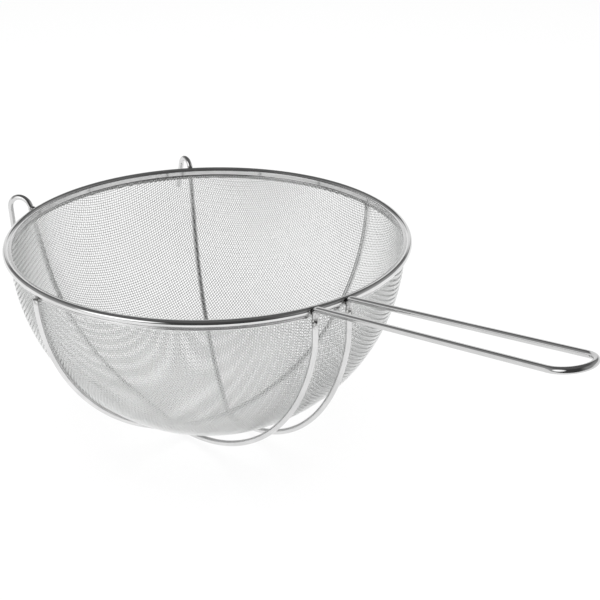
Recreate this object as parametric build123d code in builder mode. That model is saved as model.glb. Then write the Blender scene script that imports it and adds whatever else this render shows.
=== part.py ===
# Round-bottomed mesh strainer: a rolled rim, a wire loop handle, and support ribs that end in pot hooks.
# Millimetres, +Z up. The origin is the centre of the rim bead's circle, and the handle points along +X.
import os
from math import acos, asin, atan2, cos, degrees, hypot, radians, sin, sqrt, tan

from build123d import *

os.makedirs("parts", exist_ok=True)

# Rim: a steel strip rolled round a core wire, then folded down over both faces of the mesh edge
rim_outer_diameter = 280.0
bead_diameter = 4.6
strip_thickness = 0.6
core_clearance = 0.1
flange_drop = 5.7
lip_drop = 3.2
fold_rise = 1.1
fold_edge_radius = 0.5
slot_clearance = 0.05

# Mesh bowl: wire cloth pressed to a half ball with a short straight collar. Its weave is kept as a coarse net,
# with as many windows from rim to rim as named here and the cloth's own share of opening
mesh_wire_diameter = 0.4
mesh_pitch = 1.35
net_windows_across = 6
weave_angle = -31.6
window_reach = 10.0
rim_margin = 3.0
least_window_height = 12.0
bead_overhang = 4.5
collar_height = 1.5
mesh_edge_depth = 0.7

# Wire of the handle, the ribs and the cross rib
frame_wire_diameter = 4.0
seat_gap = 0.1
cut_edge_radius = 0.4

# Handle loop
leg_half_spacing = 13.0
leg_drop = 6.0
leg_bend_radius = 4.5
handle_rise = 2.6
handle_angle = 12.2
handle_reach = 349.0
loop_end_radius = 14.0

# Support ribs, left and right as seen by the person who holds the handle
rib_knee_radius = 57.0
rib_arc_inset = 1.1
rib_arc_center_x = 2.7
left_bend_x = -17.3
left_bend_y = -32.7
right_bend_x = 4.0
right_bend_y = 10.0
rib_bend_reach = 6.0
rib_flare_drop = 3.0
rib_flare_radius = 12.0
left_end_angle = -147.6
right_end_angle = 153.6

# Hooks at the far ends of the ribs, which hold the strainer on a pot
left_hook_width = 17.4
right_hook_width = 14.0
left_hook_rise = 8.1
right_hook_rise = 6.7
hook_drop = 20.5
left_hook_angle = -147.0
right_hook_angle = 178.0
left_splay_angle = -3.8
right_splay_angle = 17.0

# Cross rib
cross_rib_offset = 7.5
cross_rib_angle = 1.9

# Welds
nugget_radius = 2.2
seam_half_height = 1.6
seam_bulge = 0.45
end_nugget_radius = 1.9

# Rim and bowl sizes that follow
bead_radius = bead_diameter / 2
bead_circle_radius = rim_outer_diameter / 2 - bead_radius
core_wire_radius = bead_radius - strip_thickness - core_clearance
mesh_thickness = 2 * mesh_wire_diameter
bowl_outer_radius = rim_outer_diameter / 2 - bead_overhang
bowl_inner_radius = bowl_outer_radius - mesh_thickness
flange_outer_radius = bowl_outer_radius + strip_thickness
slot_inner_radius = bowl_inner_radius - slot_clearance
lip_inner_radius = slot_inner_radius - strip_thickness
ball_center = Vector(0, 0, -collar_height)

# Frame sizes that follow
wire_radius = frame_wire_diameter / 2
outside_bead_radius = rim_outer_diameter / 2 + wire_radius + seat_gap
on_mesh_radius = bowl_outer_radius + wire_radius + seat_gap
under_cross_rib_radius = on_mesh_radius + frame_wire_diameter + seat_gap
leg_distance = sqrt(outside_bead_radius**2 - leg_half_spacing**2)
leg_sides = {"left": -1, "right": 1}
rib_bend_points = {"left": (left_bend_x, left_bend_y), "right": (right_bend_x, right_bend_y)}
rib_end_angles = {"left": left_end_angle, "right": right_end_angle}
hook_radii = {"left": left_hook_width / 2, "right": right_hook_width / 2}
hook_rises = {"left": left_hook_rise, "right": right_hook_rise}
hook_angles = {"left": left_hook_angle, "right": right_hook_angle}
hook_splay_angles = {"left": left_splay_angle, "right": right_splay_angle}


def heading_of(angle):
    """The level direction at an angle in degrees from +X."""
    return Vector(cos(radians(angle)), sin(radians(angle)), 0)


def bend_ends(before, corner, after, radius):
    """Where a bend of this radius leaves one straight run and joins the next."""
    run_in = (corner - before).normalized()
    run_out = (after - corner).normalized()
    reach = radius * tan(radians(run_in.get_angle(run_out)) / 2)
    return corner - run_in * reach, corner + run_out * reach


class BallCut:
    """The circle in which an upright plane through two plan points cuts a ball about the bowl's centre."""

    def __init__(self, start, end, ball_radius):
        self.heading = Vector(end.X - start.X, end.Y - start.Y, 0).normalized()
        plan_start = Vector(start.X, start.Y, 0)
        self.center = plan_start - self.heading * plan_start.dot(self.heading) + ball_center
        self.radius = sqrt(ball_radius**2 - (self.center - ball_center).length ** 2)

    def point(self, angle):
        """The point at an angle in degrees up from the bottom, along the heading."""
        out = self.heading * (self.radius * sin(radians(angle)))
        return self.center + out - Vector(0, 0, self.radius * cos(radians(angle)))

    def touch_point(self, corner, side):
        """Where a straight line from an outside corner in the plane touches the circle."""
        reach = corner - self.center
        angle = degrees(atan2(reach.dot(self.heading), -reach.Z))
        return self.point(angle + side * degrees(acos(self.radius / reach.length)))


# Crossings of the net on a ball of radius 1, for one quarter. Each cell of the cloth keeps its sides, so its
# far corner is its near corner turned half round about the cell's middle.
net_step = radians(180 / net_windows_across)
quarter_windows = net_windows_across // 2
net = {}
for count in range(quarter_windows + 1):
    net[count, 0] = Vector(sin(count * net_step), 0, -cos(count * net_step))
    net[0, count] = Vector(0, sin(count * net_step), -cos(count * net_step))
for warp in range(1, quarter_windows + 1):
    for weft in range(1, quarter_windows + 1):
        middle = (net[warp, weft - 1] + net[warp - 1, weft]).normalized()
        near_corner = net[warp - 1, weft - 1]
        net[warp, weft] = middle * (2 * near_corner.dot(middle)) - near_corner

# Cutters for the windows of one quarter, which end level below the flange
opening_share = 1 - mesh_wire_diameter / mesh_pitch
window_top = -flange_drop - rim_margin
with BuildPart() as quarter_of_windows:
    for warp in range(quarter_windows):
        for weft in range(quarter_windows):
            corners = [net[warp, weft], net[warp + 1, weft], net[warp + 1, weft + 1], net[warp, weft + 1]]
            middle = (corners[1] + corners[3]).normalized()
            window_center = ball_center + middle * bowl_outer_radius
            lowest_corner = corners[0].Z * bowl_outer_radius + ball_center.Z
            if lowest_corner > window_top - least_window_height:
                continue
            window_plane = Plane(window_center, z_dir=middle)
            outline = []
            for corner in corners:
                place = window_plane.to_local_coords(ball_center + corner * bowl_outer_radius)
                outline.append((place.X * opening_share, place.Y * opening_share))
            with BuildSketch(window_plane):
                Polygon(*outline, align=None)
            extrude(amount=window_reach, both=True)
    split(bisect_by=Plane.XY.offset(window_top), keep=Keep.BOTTOM)

# Mesh bowl
with BuildPart() as mesh_bowl:
    with BuildSketch(Plane.XZ):
        with BuildLine():
            Line((bowl_inner_radius, -mesh_edge_depth), (bowl_outer_radius, -mesh_edge_depth))
            Line((bowl_outer_radius, -mesh_edge_depth), (bowl_outer_radius, -collar_height))
            CenterArc((0, -collar_height), bowl_outer_radius, 0, -90)
            Line((0, -collar_height - bowl_outer_radius), (0, -collar_height - bowl_inner_radius))
            CenterArc((0, -collar_height), bowl_inner_radius, 0, -90)
            Line((bowl_inner_radius, -collar_height), (bowl_inner_radius, -mesh_edge_depth))
        make_face()
    revolve(axis=Axis.Z)
    with PolarLocations(0, 4, start_angle=weave_angle):
        add(quarter_of_windows.part, mode=Mode.SUBTRACT)
mesh_bowl.part.label = "mesh_bowl"
export_step(mesh_bowl.part, "parts/mesh_bowl.step")

# Rim band: the bead, the outer flange and the short inner lip are one strip, closed all round
with BuildPart() as rim_band:
    with BuildSketch(Plane.XZ):
        with Locations((lip_inner_radius, -flange_drop)):
            fold_width = flange_outer_radius - lip_inner_radius
            Rectangle(fold_width, flange_drop + fold_rise, align=Align.MIN)
            under_lip_width = slot_inner_radius - lip_inner_radius
            Rectangle(under_lip_width, flange_drop - lip_drop, align=Align.MIN, mode=Mode.SUBTRACT)
        with Locations((slot_inner_radius, -flange_drop)):
            slot_width = bowl_outer_radius - slot_inner_radius
            slot_height = flange_drop - mesh_edge_depth
            Rectangle(slot_width, slot_height, align=Align.MIN, mode=Mode.SUBTRACT)
        with Locations((bead_circle_radius, 0)):
            Circle(bead_radius)
            Circle(bead_radius - strip_thickness, mode=Mode.SUBTRACT)
    revolve(axis=Axis.Z)
    top_edges = rim_band.edges().group_by(Axis.Z)[-1]
    fillet(top_edges.sort_by(SortBy.LENGTH)[0], fold_edge_radius)
rim_band.part.label = "rim_band"
export_step(rim_band.part, "parts/rim_band.step")

# Core wire, sealed inside the bead
with BuildPart() as rim_core_wire:
    with BuildSketch(Plane.XZ):
        with Locations((bead_circle_radius, 0)):
            Circle(core_wire_radius)
    revolve(axis=Axis.Z)
rim_core_wire.part.label = "rim_core_wire"
export_step(rim_core_wire.part, "parts/rim_core_wire.step")

# Handle loop: one wire, up along one leg, out along the slope, round the end and back
arm_direction = Vector(cos(radians(handle_angle)), 0, sin(radians(handle_angle)))
arm_root = Vector(leg_distance, 0, handle_rise)
loop_length = (handle_reach - leg_distance) / cos(radians(handle_angle))
loop_tip = arm_root + arm_direction * loop_length
loop_center = arm_root + arm_direction * (loop_length - loop_end_radius)
arm_span = hypot(loop_length - loop_end_radius, leg_half_spacing)
arm_touch_angle = acos(loop_end_radius / arm_span) + asin(leg_half_spacing / arm_span)
leg_feet = {side: Vector(leg_distance, sign * leg_half_spacing, -leg_drop) for side, sign in leg_sides.items()}
arm_ends = {}
leg_bends = {}
for side, sign in leg_sides.items():
    end_inward = arm_direction * (-loop_end_radius * cos(arm_touch_angle))
    end_outward = Vector(0, sign * loop_end_radius * sin(arm_touch_angle), 0)
    arm_ends[side] = loop_center + end_inward + end_outward
    leg_corner = arm_root + Vector(0, sign * leg_half_spacing, 0)
    leg_bends[side] = bend_ends(leg_feet[side], leg_corner, arm_ends[side], leg_bend_radius)

with BuildPart() as handle_loop:
    with BuildLine():
        left_leg = Line(leg_feet["left"], leg_bends["left"][0])
        left_bend = TangentArc(left_leg @ 1, leg_bends["left"][1], tangent=left_leg % 1)
        left_arm = Line(left_bend @ 1, arm_ends["left"])
        left_turn = TangentArc(left_arm @ 1, loop_tip, tangent=left_arm % 1)
        right_turn = TangentArc(left_turn @ 1, arm_ends["right"], tangent=left_turn % 1)
        right_arm = Line(right_turn @ 1, leg_bends["right"][1])
        right_bend = TangentArc(right_arm @ 1, leg_bends["right"][0], tangent=right_arm % 1)
        Line(right_bend @ 1, leg_feet["right"])
    with BuildSketch(Plane(leg_feet["left"], z_dir=left_leg % 0)):
        Circle(wire_radius)
    sweep()
handle_loop.part.label = "handle_loop"
export_step(handle_loop.part, "parts/handle_loop.step")

# Cross rib: lies on the mesh from rim to rim and ends under the edge of the flange
cross_rib_heading = heading_of(90 + cross_rib_angle)
cross_rib_mid = heading_of(cross_rib_angle) * cross_rib_offset
cross_rib_cut = BallCut(cross_rib_mid, cross_rib_mid + cross_rib_heading, on_mesh_radius)
cross_rib_end_drop = flange_drop + 2 * seat_gap
cross_rib_end_angle = degrees(acos((cross_rib_end_drop - collar_height) / cross_rib_cut.radius))
cross_rib_ends = [cross_rib_cut.point(sign * cross_rib_end_angle) for sign in (-1, 1)]

with BuildPart() as cross_rib:
    with BuildLine():
        cross_line = ThreePointArc(cross_rib_ends[0], cross_rib_cut.point(0), cross_rib_ends[1])
    with BuildSketch(Plane(cross_line @ 0, z_dir=cross_line % 0)):
        Circle(wire_radius)
    sweep()
cross_rib.part.label = "cross_rib"
export_step(cross_rib.part, "parts/cross_rib.step")


def crossing_point(side):
    """Where a rib's centre line passes under the cross rib."""
    start = leg_feet[side]
    bend_x, bend_y = rib_bend_points[side]
    run = Vector(bend_x - start.X, bend_y - start.Y, 0).normalized()
    cross_normal = heading_of(cross_rib_angle)
    line_offset = cross_rib_offset * under_cross_rib_radius / on_mesh_radius
    plan_start = Vector(start.X, start.Y, 0)
    plan = plan_start + run * ((line_offset - plan_start.dot(cross_normal)) / run.dot(cross_normal))
    return plan + ball_center - Vector(0, 0, sqrt(under_cross_rib_radius**2 - plan.length**2))


# Support ribs: down from the handle leg, under the cross rib, along the mesh, and over into a hook
support_ribs = {}
for side in leg_sides:
    rib_top = leg_feet[side]
    bend_x, bend_y = rib_bend_points[side]
    near_heading = Vector(bend_x - rib_top.X, bend_y - rib_top.Y, 0)
    bend_run = near_heading.length
    near_heading = near_heading.normalized()
    crossing = crossing_point(side)
    crossing_run = (crossing - rib_top).dot(near_heading)

    # The large arc lies in an upright plane and turns the wire from the knee towards the bend
    rib_arc_radius = outside_bead_radius - rib_arc_inset
    arc_run = leg_distance - rib_arc_center_x
    arc_center_z = crossing.Z + sqrt(rib_arc_radius**2 - (crossing_run - arc_run) ** 2)
    knee_angle = acos((arc_run - rib_knee_radius) / (rib_arc_radius - rib_knee_radius))
    reach_angle = atan2(rib_bend_reach, rib_arc_radius)
    arc_end_angle = asin((arc_run - bend_run) / hypot(rib_arc_radius, rib_bend_reach)) + reach_angle

    def near_point(run, height):
        """A point of the upright plane by its distance from the leg and its height."""
        return Vector(rib_top.X, rib_top.Y, height) + near_heading * run

    knee_top = near_point(0, arc_center_z - (rib_arc_radius - rib_knee_radius) * sin(knee_angle))
    knee_end_run = arc_run - rib_arc_radius * cos(knee_angle)
    knee_end = near_point(knee_end_run, arc_center_z - rib_arc_radius * sin(knee_angle))
    arc_end_run = arc_run - rib_arc_radius * sin(arc_end_angle)
    arc_end = near_point(arc_end_run, arc_center_z - rib_arc_radius * cos(arc_end_angle))
    bend_corner_z = arc_end.Z - rib_bend_reach * sin(arc_end_angle)
    bend_corner = Vector(bend_x, bend_y, bend_corner_z)

    # The far half touches the mesh, then flares to pass outside the bead
    rim_point = heading_of(rib_end_angles[side]) * outside_bead_radius
    far_cut = BallCut(bend_corner, rim_point, on_mesh_radius)
    flare_corner = rim_point - Vector(0, 0, rib_flare_drop)
    touch_start = far_cut.touch_point(bend_corner, 1)
    touch_end = far_cut.touch_point(flare_corner, -1)
    bend_end = bend_corner + (touch_start - bend_corner).normalized() * rib_bend_reach
    flare_start, flare_end = bend_ends(touch_end, flare_corner, rim_point, rib_flare_radius)

    # The hook is a half turn, and its free leg leans out a little
    hook_heading = heading_of(hook_angles[side])
    hook_radius = hook_radii[side]
    hook_base = rim_point + Vector(0, 0, hook_rises[side] - hook_radius)
    hook_center = hook_base + hook_heading * hook_radius
    hook_top = hook_center + Vector(0, 0, hook_radius)
    splay = radians(hook_splay_angles[side])
    turn_end = hook_center + (hook_heading * cos(splay) + Vector(0, 0, sin(splay))) * hook_radius
    leg_length = (turn_end.Z + hook_drop) / cos(splay)
    hook_tip = turn_end + (hook_heading * sin(splay) - Vector(0, 0, cos(splay))) * leg_length

    with BuildPart() as support_rib:
        with BuildLine():
            drop = Line(rib_top, knee_top)
            knee = TangentArc(drop @ 1, knee_end, tangent=drop % 1)
            large_arc = TangentArc(knee @ 1, arc_end, tangent=knee % 1)
            bend = TangentArc(large_arc @ 1, bend_end, tangent=large_arc % 1)
            rise = Line(bend @ 1, touch_start)
            mesh_arc = TangentArc(rise @ 1, touch_end, tangent=rise % 1)
            flare_run = Line(mesh_arc @ 1, flare_start)
            flare = TangentArc(flare_run @ 1, flare_end, tangent=flare_run % 1)
            hook_stem = Line(flare @ 1, hook_base)
            turn_up = TangentArc(hook_stem @ 1, hook_top, tangent=hook_stem % 1)
            turn_down = TangentArc(turn_up @ 1, turn_end, tangent=turn_up % 1)
            Line(turn_down @ 1, hook_tip)
        with BuildSketch(Plane(rib_top, z_dir=drop % 0)):
            Circle(wire_radius)
        sweep()
        fillet(support_rib.faces().sort_by_distance(hook_tip)[0].edges(), cut_edge_radius)
    support_rib.part.label = f"support_rib_{side}"
    export_step(support_rib.part, f"parts/support_rib_{side}.step")
    support_ribs[side] = support_rib.part

# Welds: a nugget fills the crevice where two round forms meet
bead_contact_radius = rim_outer_diameter / 2 + seat_gap / 2
rib_contact_radius = on_mesh_radius + (frame_wire_diameter + seat_gap) / 2

with BuildPart() as bowl_envelope:
    Torus(bead_circle_radius, bead_radius)
    with Locations(ball_center):
        Sphere(bowl_outer_radius)
    Cylinder(flange_outer_radius, flange_drop, align=(Align.CENTER, Align.CENTER, Align.MAX))


def weld_nugget(center, radius, joined_pieces):
    """A ball of weld metal, cut back to the surfaces that it joins."""
    with BuildPart() as nugget:
        with Locations(Plane(center, z_dir=center - ball_center)):
            Sphere(radius)
        for piece in joined_pieces:
            add(piece, mode=Mode.SUBTRACT)
    return nugget.part


handle_nuggets = []
for foot in leg_feet.values():
    handle_contact = Vector(foot.X, foot.Y, 0).normalized() * bead_contact_radius
    handle_nuggets.append(weld_nugget(handle_contact, nugget_radius, [bowl_envelope.part, handle_loop.part]))
with BuildPart() as handle_welds:
    add(handle_nuggets)
handle_welds.part.label = "handle_welds"
export_step(handle_welds.part, "parts/handle_welds.step")

hook_nuggets = []
crossing_nuggets = []
for side, rib in support_ribs.items():
    hook_contact = heading_of(rib_end_angles[side]) * bead_contact_radius
    hook_nuggets.append(weld_nugget(hook_contact, nugget_radius, [bowl_envelope.part, rib]))
    crossing_direction = (crossing_point(side) - ball_center).normalized()
    crossing_contact = ball_center + crossing_direction * rib_contact_radius
    crossing_nuggets.append(weld_nugget(crossing_contact, nugget_radius, [cross_rib.part, rib]))
with BuildPart() as hook_welds:
    add(hook_nuggets)
hook_welds.part.label = "hook_welds"
export_step(hook_welds.part, "parts/hook_welds.step")
with BuildPart() as crossing_welds:
    add(crossing_nuggets)
crossing_welds.part.label = "crossing_welds"
export_step(crossing_welds.part, "parts/crossing_welds.step")

# The ends of the cross rib are welded to the lower edge of the flange
end_nuggets = []
for end in cross_rib_ends:
    flange_edge = Vector(end.X, end.Y, 0).normalized() * flange_outer_radius - Vector(0, 0, flange_drop)
    end_nuggets.append(weld_nugget(flange_edge, end_nugget_radius, [bowl_envelope.part, cross_rib.part]))
with BuildPart() as cross_rib_welds:
    add(end_nuggets)
cross_rib_welds.part.label = "cross_rib_welds"
export_step(cross_rib_welds.part, "parts/cross_rib_welds.step")

# The top of each rib butts against a handle leg, with a ring of weld round the seam
with BuildPart() as rib_seam_welds:
    with BuildSketch(Plane.XZ.offset(leg_half_spacing)):
        with BuildLine():
            seam_x = leg_distance + wire_radius
            seam_line = Line((seam_x, -leg_drop - seam_half_height), (seam_x, -leg_drop + seam_half_height))
            ThreePointArc(seam_line @ 1, (seam_x + seam_bulge, -leg_drop), seam_line @ 0)
        make_face()
    revolve(axis=Axis(leg_feet["left"], (0, 0, 1)))
    mirror(about=Plane.XZ)
rib_seam_welds.part.label = "rib_seam_welds"
export_step(rib_seam_welds.part, "parts/rib_seam_welds.step")
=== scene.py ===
import math

import bpy
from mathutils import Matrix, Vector


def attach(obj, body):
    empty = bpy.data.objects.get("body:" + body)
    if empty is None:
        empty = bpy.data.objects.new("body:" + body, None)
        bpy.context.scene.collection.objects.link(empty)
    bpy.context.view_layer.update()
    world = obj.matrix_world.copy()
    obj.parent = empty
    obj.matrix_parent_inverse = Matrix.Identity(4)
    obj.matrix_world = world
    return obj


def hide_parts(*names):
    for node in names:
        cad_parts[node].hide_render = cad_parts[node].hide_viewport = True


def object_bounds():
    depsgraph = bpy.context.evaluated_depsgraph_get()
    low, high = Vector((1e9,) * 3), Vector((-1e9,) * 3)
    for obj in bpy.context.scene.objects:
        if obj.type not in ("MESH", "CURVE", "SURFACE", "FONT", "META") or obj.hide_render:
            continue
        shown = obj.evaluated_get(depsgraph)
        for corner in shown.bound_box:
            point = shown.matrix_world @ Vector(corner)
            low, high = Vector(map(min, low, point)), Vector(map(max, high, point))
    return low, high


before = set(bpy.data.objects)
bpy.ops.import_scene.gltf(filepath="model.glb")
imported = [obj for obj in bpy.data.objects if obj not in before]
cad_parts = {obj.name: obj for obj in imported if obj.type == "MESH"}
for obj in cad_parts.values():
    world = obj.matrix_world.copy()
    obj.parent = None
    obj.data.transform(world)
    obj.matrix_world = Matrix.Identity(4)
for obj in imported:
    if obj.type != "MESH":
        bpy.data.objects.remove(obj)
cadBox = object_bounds()
mm = 0.001
print("frame loaded")


class Maths:
    # wraps one shader socket so that sums read as sums
    tree = None

    def __init__(self, socket):
        self.socket = socket

    def feed(self, target):
        Maths.tree.links.new(self.socket, target)

    @classmethod
    def node(cls, kind, settings=None, **inputs):
        # i0, i1 and so on give inputs by number, and an underscore stands for a space
        made = cls.tree.nodes.new(kind)
        for name, value in (settings or {}).items():
            setattr(made, name, value)
        for name, value in inputs.items():
            numbered = name[0] == "i" and name[1:].isdigit()
            target = made.inputs[int(name[1:]) if numbered else name.replace("_", " ")]
            if isinstance(value, Maths):
                value.feed(target)
            else:
                target.default_value = value
        return made

    @classmethod
    def operate(cls, kind, operation, values):
        return cls.node(kind, {"operation": operation}, **{f"i{n}": value for n, value in enumerate(values)})

    @classmethod
    def combine(cls, operation, *values):
        return cls(cls.operate("ShaderNodeMath", operation, values).outputs[0])

    @classmethod
    def vectors(cls, operation, *values):
        # dot products and distances are numbers, and the rest are vectors
        made = cls.operate("ShaderNodeVectorMath", operation, values)
        return cls(made.outputs["Value" if operation in ("DOT_PRODUCT", "DISTANCE") else "Vector"])

    def __add__(self, other): return Maths.combine("ADD", self, other)
    def __radd__(self, other): return Maths.combine("ADD", other, self)
    def __sub__(self, other): return Maths.combine("SUBTRACT", self, other)
    def __rsub__(self, other): return Maths.combine("SUBTRACT", other, self)
    def __mul__(self, other): return Maths.combine("MULTIPLY", self, other)
    def __rmul__(self, other): return Maths.combine("MULTIPLY", other, self)
    def __truediv__(self, other): return Maths.combine("DIVIDE", self, other)
    def __rtruediv__(self, other): return Maths.combine("DIVIDE", other, self)
    def __pow__(self, other): return Maths.combine("POWER", self, other)

    @classmethod
    def step(cls, value, low, high):
        # eases from 0 to 1 between two values
        settings = {"interpolation_type": "SMOOTHSTEP"}
        return cls(cls.node("ShaderNodeMapRange", settings, Value=value, From_Min=low, From_Max=high).outputs["Result"])

    @classmethod
    def noise(cls, place, scale, detail=3.0):
        settings = {"noise_dimensions": "3D"}
        return cls(cls.node("ShaderNodeTexNoise", settings, Vector=place, Scale=scale, Detail=detail).outputs[0])

    @classmethod
    def blend(cls, share, first, second):
        # colours go through one Mix node
        pair = [(*colour, 1) if isinstance(colour, tuple) else colour for colour in (first, second)]
        return cls(cls.node("ShaderNodeMix", {"data_type": "RGBA"}, i0=share, i6=pair[0], i7=pair[1]).outputs[2])

    @classmethod
    def vector(cls, x, y, z):
        return cls(cls.node("ShaderNodeCombineXYZ", X=x, Y=y, Z=z).outputs[0])

    @classmethod
    def split(cls, vector):
        outputs = cls.node("ShaderNodeSeparateXYZ", Vector=vector).outputs
        return [cls(outputs[n]) for n in range(3)]

    @classmethod
    def smoothNormal(cls):
        return cls(cls.node("ShaderNodeNewGeometry").outputs["Normal"])


def startMetal(name):
    material = bpy.data.materials.new(name)
    material.use_nodes = True
    Maths.tree = material.node_tree
    shader = material.node_tree.nodes["Principled BSDF"]
    shader.inputs["Metallic"].default_value = 1
    return material, shader, Maths(Maths.node("ShaderNodeTexCoord").outputs["Object"])


# Steel finishes: grain gives the way the drawing or rolling marks run, and marks how many there are to the metre
# the weld list darkens each finish near its welds, partly with real heat tint and partly with painted gap shade
steelSettings = {
    "wireCloth": {
        "bright": (0.92, 0.925, 0.92), "dull": (0.84, 0.845, 0.84), "roughness": 0.32, "spread": 0.10,
        "grain": "along", "marks": 60, "bump": 0.0, "scorchAndGapShadeBy": (),
    },
    "rolledStrip": {
        "bright": (0.82, 0.82, 0.82), "dull": (0.68, 0.68, 0.68), "roughness": 0.06, "spread": 0.08,
        "grain": "ring", "marks": 3500, "bump": 0.10, "scorchAndGapShadeBy": ("handle_welds", "hook_welds", "cross_rib_welds"),
    },
    "handleWire": {
        "bright": (0.67, 0.67, 0.67), "dull": (0.56, 0.56, 0.56), "roughness": 0.07, "spread": 0.08,
        "grain": "along", "marks": 4200, "bump": 0.12, "scorchAndGapShadeBy": ("handle_welds", "rib_seam_welds"),
    },
    "ribWire": {
        "bright": (0.76, 0.76, 0.76), "dull": (0.62, 0.62, 0.62), "roughness": 0.09, "spread": 0.10,
        "grain": "rib", "marks": 4200, "bump": 0.12, "scorchAndGapShadeBy": ("rib_seam_welds", "hook_welds", "crossing_welds"),
    },
    "crossWire": {
        "bright": (0.84, 0.84, 0.84), "dull": (0.68, 0.68, 0.68), "roughness": 0.09, "spread": 0.10,
        "grain": "cross", "marks": 4200, "bump": 0.12, "scorchAndGapShadeBy": ("crossing_welds", "cross_rib_welds"),
    },
}
wear = {
    "streakShare": 0.55, "smudgeShare": 0.45, "smudges": 45.0, "smudgeDetail": 2.0, "range": (0.3, 0.7),
    "smudgeMean": 0.45, "streakMean": 0.5, "streakSpread": 0.6, "leastRoughness": 0.05, "markDepth": 0.02 * mm,
}
grainSettings = {"stretch": 60, "bendRadius": 0.14}
flangeBeads = {
    "top": -2.6 * mm, "end": -5.1 * mm, "pitch": 1.3 * mm, "tilt": 0.6, "lean": 0.6,
    "topFade": (0.3 * mm, 0.5 * mm), "endFade": 0.3 * mm,
}
# Weld heat tint, made near black so that it also paints the shade in the gaps where the legs meet the rim
weldTintAndGapShade = {
    "reach": 5.5 * mm, "core": 0.25, "colour": (0.09, 0.085, 0.08), "share": 0.85, "roughness": 0.3,
    "patches": 700.0, "patchDetail": 4.0, "patchRange": (0.36, 0.58),
}


def grainPlace(place, grain, marks):
    # a vector that changes slowly along the wire or strip and fast across it
    x, y, z = Maths.split(place)
    slow = marks / grainSettings["stretch"]
    bent = {"ring": (x, y, z), "rib": (x, z, y), "cross": (y, z, x)}
    if grain not in bent:
        return Maths.vector(x * slow, y * marks, z * marks)
    first, second, across = bent[grain]
    along = Maths.combine("ARCTAN2", second, first) * (slow * grainSettings["bendRadius"])
    return Maths.vector(along, (first * first + second * second) ** 0.5 * marks, across * marks)


def weldPlaces(nodeName):
    # each weld node holds one weld on either side of the handle's plane
    points = [vertex.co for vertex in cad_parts[nodeName].data.vertices]
    places = []
    for side in (1, -1):
        near = [point for point in points if point.y * side > 0]
        places.append(sum(near, Vector()) / len(near))
    return places


def weldTintAndGapShadeShare(place, nodeNames):
    # 1 at a weld, falling to 0 at the end of its reach: weld heat tint there, and painted shade of the gap where a wire
    # meets the strip
    share = None
    for nodeName in nodeNames:
        for weld in weldPlaces(nodeName):
            away = Maths.vectors("DISTANCE", place, weld)
            here = 1 - Maths.step(away, weldTintAndGapShade["core"] * weldTintAndGapShade["reach"], weldTintAndGapShade["reach"])
            share = here if share is None else Maths.combine("MAXIMUM", share, here)
    patches = Maths.noise(place, weldTintAndGapShade["patches"], weldTintAndGapShade["patchDetail"])
    return share * Maths.step(patches, *weldTintAndGapShade["patchRange"])


def flangeNormal(place):
    # two shallow beads run round the flange: the surface leans up and down with height
    level = Maths.split(place)[2]
    top, end = flangeBeads["top"], flangeBeads["end"]
    belowTop = 1 - Maths.step(level, *(top + fade for fade in flangeBeads["topFade"]))
    aboveEnd = Maths.step(level, end - flangeBeads["endFade"], end)
    waves = Maths.combine("COSINE", (level - top) * (2 * math.pi / flangeBeads["pitch"]))
    lean = (waves * flangeBeads["tilt"] + flangeBeads["lean"]) * (aboveEnd * belowTop)
    return Maths.vectors("NORMALIZE", Maths.vectors("ADD", Maths.smoothNormal(), Maths.vector(0.0, 0.0, lean)))


def steel(name):
    settings = steelSettings[name]
    material, shader, place = startMetal(name)
    streaks = Maths.noise(grainPlace(place, settings["grain"], settings["marks"]), 1.0)
    smudges = Maths.noise(place, wear["smudges"], wear["smudgeDetail"])
    worn = Maths.step(streaks * wear["streakShare"] + smudges * wear["smudgeShare"], *wear["range"])
    colour = Maths.blend(worn, settings["dull"], settings["bright"])
    roughness = settings["roughness"] + (smudges - wear["smudgeMean"]) * settings["spread"]
    roughness = roughness + (streaks - wear["streakMean"]) * (settings["spread"] * wear["streakSpread"])
    if settings["scorchAndGapShadeBy"]:
        scorchAndGapShade = weldTintAndGapShadeShare(place, settings["scorchAndGapShadeBy"])
        # painted shade: the near-black colour round the welds is partly heat tint and partly painted shade of the gap
        # between the parts
        colour = Maths.blend(scorchAndGapShade * weldTintAndGapShade["share"], colour, weldTintAndGapShade["colour"])
        roughness = roughness + scorchAndGapShade * weldTintAndGapShade["roughness"]
    colour.feed(shader.inputs["Base Color"])
    Maths.combine("MAXIMUM", roughness, wear["leastRoughness"]).feed(shader.inputs["Roughness"])
    if settings["bump"]:
        normal = flangeNormal(place) if settings["grain"] == "ring" else Maths.smoothNormal()
        depth = {"Strength": settings["bump"], "Distance": wear["markDepth"]}
        bump = Maths.node("ShaderNodeBump", Height=streaks, Normal=normal, **depth)
        Maths(bump.outputs[0]).feed(shader.inputs["Normal"])
    return material


# Weld metal: lumpy, partly bright and partly scaled, with more scale at some welds than at others
weldSettings = {
    "bright": (0.74, 0.74, 0.73), "scale": (0.03, 0.028, 0.028), "lumps": 620, "lumpDetail": 2.0, "grain": 2600,
    "lumpShare": 0.6, "grainShare": 0.4, "roughness": 0.24, "scaleRoughness": 0.45,
    "bump": 0.9, "height": 0.35 * mm, "grainHeight": 0.3,
}
weldScale = {"rootWeld": (0.36, 0.48), "seamWeld": (0.50, 0.60), "spotWeld": (0.46, 0.56)}


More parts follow.
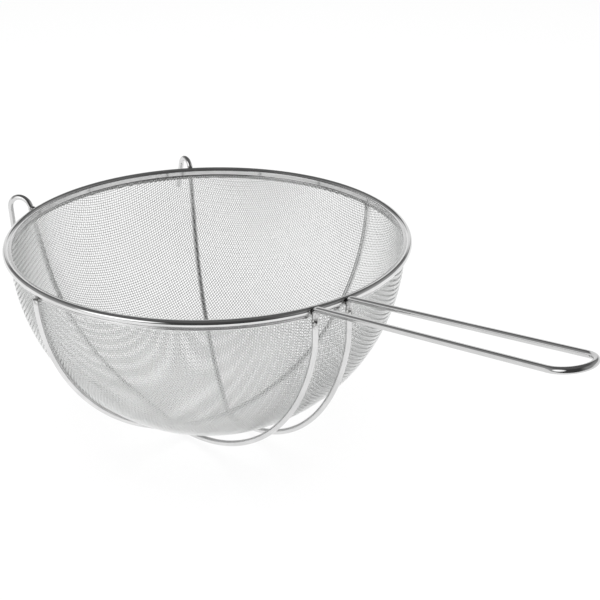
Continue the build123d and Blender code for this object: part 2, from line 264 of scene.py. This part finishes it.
def weldSteel(name):
    settings = weldSettings
    material, shader, place = startMetal(name)
    lumps = Maths.noise(place, settings["lumps"], settings["lumpDetail"])
    grain = Maths.noise(place, settings["grain"])
    scaled = Maths.step(lumps * settings["lumpShare"] + grain * settings["grainShare"], *weldScale[name])
    Maths.blend(scaled, settings["bright"], settings["scale"]).feed(shader.inputs["Base Color"])
    (settings["roughness"] + scaled * settings["scaleRoughness"]).feed(shader.inputs["Roughness"])
    height = lumps + grain * settings["grainHeight"]
    bump = Maths.node("ShaderNodeBump", Strength=settings["bump"], Distance=settings["height"], Height=height)
    Maths(bump.outputs[0]).feed(shader.inputs["Normal"])
    return material


steels = {name: steel(name) for name in steelSettings}
steels.update({name: weldSteel(name) for name in weldScale})
nodeFinish = {
    "rim_band": "rolledStrip",
    "rim_core_wire": "handleWire",
    "handle_loop": "handleWire",
    "support_rib_left": "ribWire",
    "support_rib_right": "ribWire",
    "cross_rib": "crossWire",
    "handle_welds": "rootWeld",
    "rib_seam_welds": "seamWeld",
    "hook_welds": "spotWeld",
    "crossing_welds": "spotWeld",
    "cross_rib_welds": "spotWeld",
}
for nodeName, finish in nodeFinish.items():
    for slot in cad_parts[nodeName].material_slots:
        slot.material = steels[finish]
print("steel on the CAD pieces")


# Wire cloth: a net of wires that keep their length, laid from the pole of the ball up to the rim
cloth = {
    "ballRadius": 135.1 * mm,
    "centreHeight": -1.5 * mm,
    "pitch": 1.9 * mm,
    "wireRadius": 0.235 * mm,
    "crimp": 0.12 * mm,
    "turn": math.radians(3.0),
    "edgeHeight": -1.2 * mm,
    "spareWires": 4,
    "netTop": 0.1,
    "levelPart": 0.25,
    "wiresPerPiece": 30,
}


def clothNet():
    # each crossing follows from three others: the cell turns over about the middle of its diagonal
    step = cloth["pitch"] / cloth["ballRadius"]
    reach = int(math.pi / 2 / step) + cloth["spareWires"]
    net = {}
    for n in range(reach):
        net[n, 0] = Vector((math.sin(n * step), 0, -math.cos(n * step)))
        net[0, n] = Vector((0, math.sin(n * step), -math.cos(n * step)))
    for a in range(1, reach):
        for b in range(1, reach):
            if (a - 1, b) in net and (a, b - 1) in net and net[a - 1, b - 1].z < cloth["netTop"]:
                middle = (net[a, b - 1] + net[a - 1, b]).normalized()
                net[a, b] = 2 * net[a - 1, b - 1].dot(middle) * middle - net[a - 1, b - 1]
    return net, reach


def crossing(net, a, b):
    # the other three quarters mirror the first
    quarter = net.get((abs(a), abs(b)))
    if quarter is None:
        return None
    return Vector((math.copysign(quarter.x, a), math.copysign(quarter.y, b), quarter.z))


def wirePoints(net, reach, row, family):
    # two points for each crossing keep the wire level where it passes over or under
    points = []
    turnCos, turnSin = math.cos(cloth["turn"]), math.sin(cloth["turn"])
    for n in range(-reach, reach):
        here = crossing(net, row, n) if family == 0 else crossing(net, n, row)
        after = crossing(net, row, n + 1) if family == 0 else crossing(net, n + 1, row)
        if here is None or after is None:
            continue
        for share, crossed in ((cloth["levelPart"], n), (1 - cloth["levelPart"], n + 1)):
            side = 1 if (row + crossed + family) % 2 else -1
            direction = (here * (1 - share) + after * share).normalized()
            place = direction * (cloth["ballRadius"] + side * cloth["crimp"])
            height = place.z + cloth["centreHeight"]
            if height <= cloth["edgeHeight"]:
                points.append((place.x * turnCos - place.y * turnSin, place.x * turnSin + place.y * turnCos, height))
    return points


def clothPiece(net, reach, name, family, rows):
    data = bpy.data.curves.new(name, "CURVE")
    data.dimensions = "3D"
    data.bevel_depth = cloth["wireRadius"]
    data.bevel_resolution = 1
    data.use_fill_caps = True
    for row in rows:
        points = wirePoints(net, reach, row, family)
        if len(points) < 2:
            continue
        spline = data.splines.new("POLY")
        spline.points.add(len(points) - 1)
        for point, place in zip(spline.points, points):
            point.co = (*place, 1)
    data.materials.append(steels["wireCloth"])
    piece = bpy.data.objects.new(name, data)
    bpy.context.collection.objects.link(piece)
    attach(piece, "root")
    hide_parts("mesh_bowl")


net, reach = clothNet()
for family, word in enumerate(("warp", "weft")):
    for number, start in enumerate(range(-reach, reach + 1, cloth["wiresPerPiece"])):
        rows = range(start, min(start + cloth["wiresPerPiece"], reach + 1))
        clothPiece(net, reach, f"cloth_{word}_{number + 1}", family, rows)
print("wire cloth woven")


# Camera: the photograph's viewpoint, about the centre of the rim
viewpoint = {
    "distance": 949.7 * mm,
    "elevation": math.radians(22.18),
    "azimuth": math.radians(-31.64),
    "yaw": math.radians(4.10),
    "pitch": math.radians(24.87),
    "lens": 82.29,
    "sensor": 36,
    "nearest": 0.01,
}


def levelDirection(azimuth):
    return Vector((math.cos(azimuth), math.sin(azimuth), 0))


def placeCamera():
    view = viewpoint
    away = levelDirection(view["azimuth"]) * math.cos(view["elevation"]) + Vector((0, 0, math.sin(view["elevation"])))
    ahead = levelDirection(view["azimuth"] + math.pi - view["yaw"])
    forward = ahead * math.cos(view["pitch"]) - Vector((0, 0, math.sin(view["pitch"])))
    data = bpy.data.cameras.new("camera")
    data.lens = view["lens"]
    data.sensor_width = view["sensor"]
    data.clip_start = view["nearest"]
    camera = bpy.data.objects.new("camera", data)
    camera.location = away * view["distance"]
    camera.rotation_euler = forward.to_track_quat("-Z", "Y").to_euler()
    bpy.context.collection.objects.link(camera)
    bpy.context.scene.camera = camera


# Studio: a white floor and backdrop, paler walls left and right, and a dim ceiling and front that the steel mirrors.
# Each part of the room fades in over its side range and out over its top range, both as parts of a unit direction.
studio = {
    "floorSize": 40.0,
    "floorGap": 0.2 * mm,
    "floorFront": 0.45,
    "floorColour": (0.9, 0.9, 0.9),
    "floorRoughness": 0.9,
    "floorSeenWhite": 0.9,
    "ceiling": 0.13,
    "walls": {"strength": 0.22, "side": (0.4, 0.9), "top": (0.5, 0.8)},
    "backdrop": {"strength": 0.8, "side": (0.8, 0.97), "top": (0.36, 0.44)},
    "skirting": {"side": (-0.3, 0.3), "top": (0.05, 0.3)},
    "front": {"strength": 0.06, "side": (0.5, 0.85), "top": (0.7, 0.95)},
    "softbox": {"strength": 1.3, "azimuth": math.radians(-82), "elevation": math.radians(16), "edge": (0.88, 0.96)},
    "lampHeight": 1.6,
    "lampSize": 1.8,
    "lampPower": 60,
}
white = (1, 1, 1, 1)


def makeFloor():
    # the floor ends in front of the object, below the picture, and the steel mirrors the dark room past it
    place = levelDirection(viewpoint["azimuth"]) * (studio["floorFront"] - studio["floorSize"] / 2)
    place.z = cadBox[0].z - studio["floorGap"]
    turn = (0, 0, viewpoint["azimuth"])
    bpy.ops.mesh.primitive_plane_add(size=studio["floorSize"], location=place, rotation=turn)
    floor = bpy.context.object
    floor.name = "floor"
    material = bpy.data.materials.new("floor")
    material.use_nodes = True
    Maths.tree = material.node_tree
    shader = material.node_tree.nodes["Principled BSDF"]
    shader.inputs["Base Color"].default_value = (*studio["floorColour"], 1)
    shader.inputs["Roughness"].default_value = studio["floorRoughness"]
    # the camera and mirrors see a floor nearer to white, which still carries the shadow
    path = Maths.node("ShaderNodeLightPath")
    camera, glossy, through = (Maths(path.outputs[f"Is {kind} Ray"]) for kind in ("Camera", "Glossy", "Transmission"))
    seen = Maths.combine("MAXIMUM", Maths.combine("MAXIMUM", camera, glossy), through)
    glow = Maths(Maths.node("ShaderNodeEmission", Color=white, Strength=1.0).outputs[0])
    share = seen * studio["floorSeenWhite"]
    both = Maths.node("ShaderNodeMixShader", i0=share, i1=Maths(shader.outputs[0]), i2=glow)
    Maths(both.outputs[0]).feed(material.node_tree.nodes["Material Output"].inputs["Surface"])
    floor.data.materials.append(material)


def roomPart(name, side, height):
    part = studio[name]
    return Maths.step(side, *part["side"]) * (1 - Maths.step(height, *part["top"]))


def makeSurround():
    world = bpy.data.worlds.new("studio")
    bpy.context.scene.world = world
    world.use_nodes = True
    Maths.tree = world.node_tree
    towards = Maths(Maths.node("ShaderNodeTexCoord").outputs["Generated"])
    height = Maths.split(towards)[2]
    level = Maths.combine("MAXIMUM", 1 - height * height, 0.0001) ** 0.5
    sideways = Maths.vectors("DOT_PRODUCT", towards, levelDirection(viewpoint["azimuth"] + math.pi / 2)) / level
    forwards = Maths.vectors("DOT_PRODUCT", towards, levelDirection(viewpoint["azimuth"])) / level
    walls = roomPart("walls", Maths.combine("ABSOLUTE", sideways), height)
    backdrop = roomPart("backdrop", 0 - forwards, height)
    backdrop = Maths.combine("MAXIMUM", backdrop, roomPart("skirting", 0 - forwards, height))
    front = roomPart("front", forwards, height)
    box = studio["softbox"]
    boxSide = levelDirection(box["azimuth"]) * math.cos(box["elevation"]) + Vector((0, 0, math.sin(box["elevation"])))
    softbox = Maths.step(Maths.vectors("DOT_PRODUCT", towards, boxSide), *box["edge"])
    light = studio["ceiling"] + walls * studio["walls"]["strength"] + backdrop * studio["backdrop"]["strength"]
    light = light + softbox * box["strength"] - front * (studio["ceiling"] - studio["front"]["strength"])
    # the camera alone sees white past the edge of the floor
    camera = Maths(Maths.node("ShaderNodeLightPath").outputs["Is Camera Ray"])
    background = world.node_tree.nodes["Background"]
    background.inputs["Color"].default_value = white
    Maths.combine("MAXIMUM", light, camera).feed(background.inputs["Strength"])


def hangLamp():
    # a broad lamp for the floor, which the polished steel doesn't mirror
    data = bpy.data.lights.new("lamp", "AREA")
    data.size = studio["lampSize"]
    data.energy = studio["lampPower"]
    lamp = bpy.data.objects.new("lamp", data)
    lamp.location = (0, 0, studio["lampHeight"])
    lamp.visible_glossy = False
    bpy.context.collection.objects.link(lamp)


placeCamera()
makeFloor()
makeSurround()
hangLamp()
bpy.context.scene.view_settings.view_transform = "Standard"
print("studio ready")
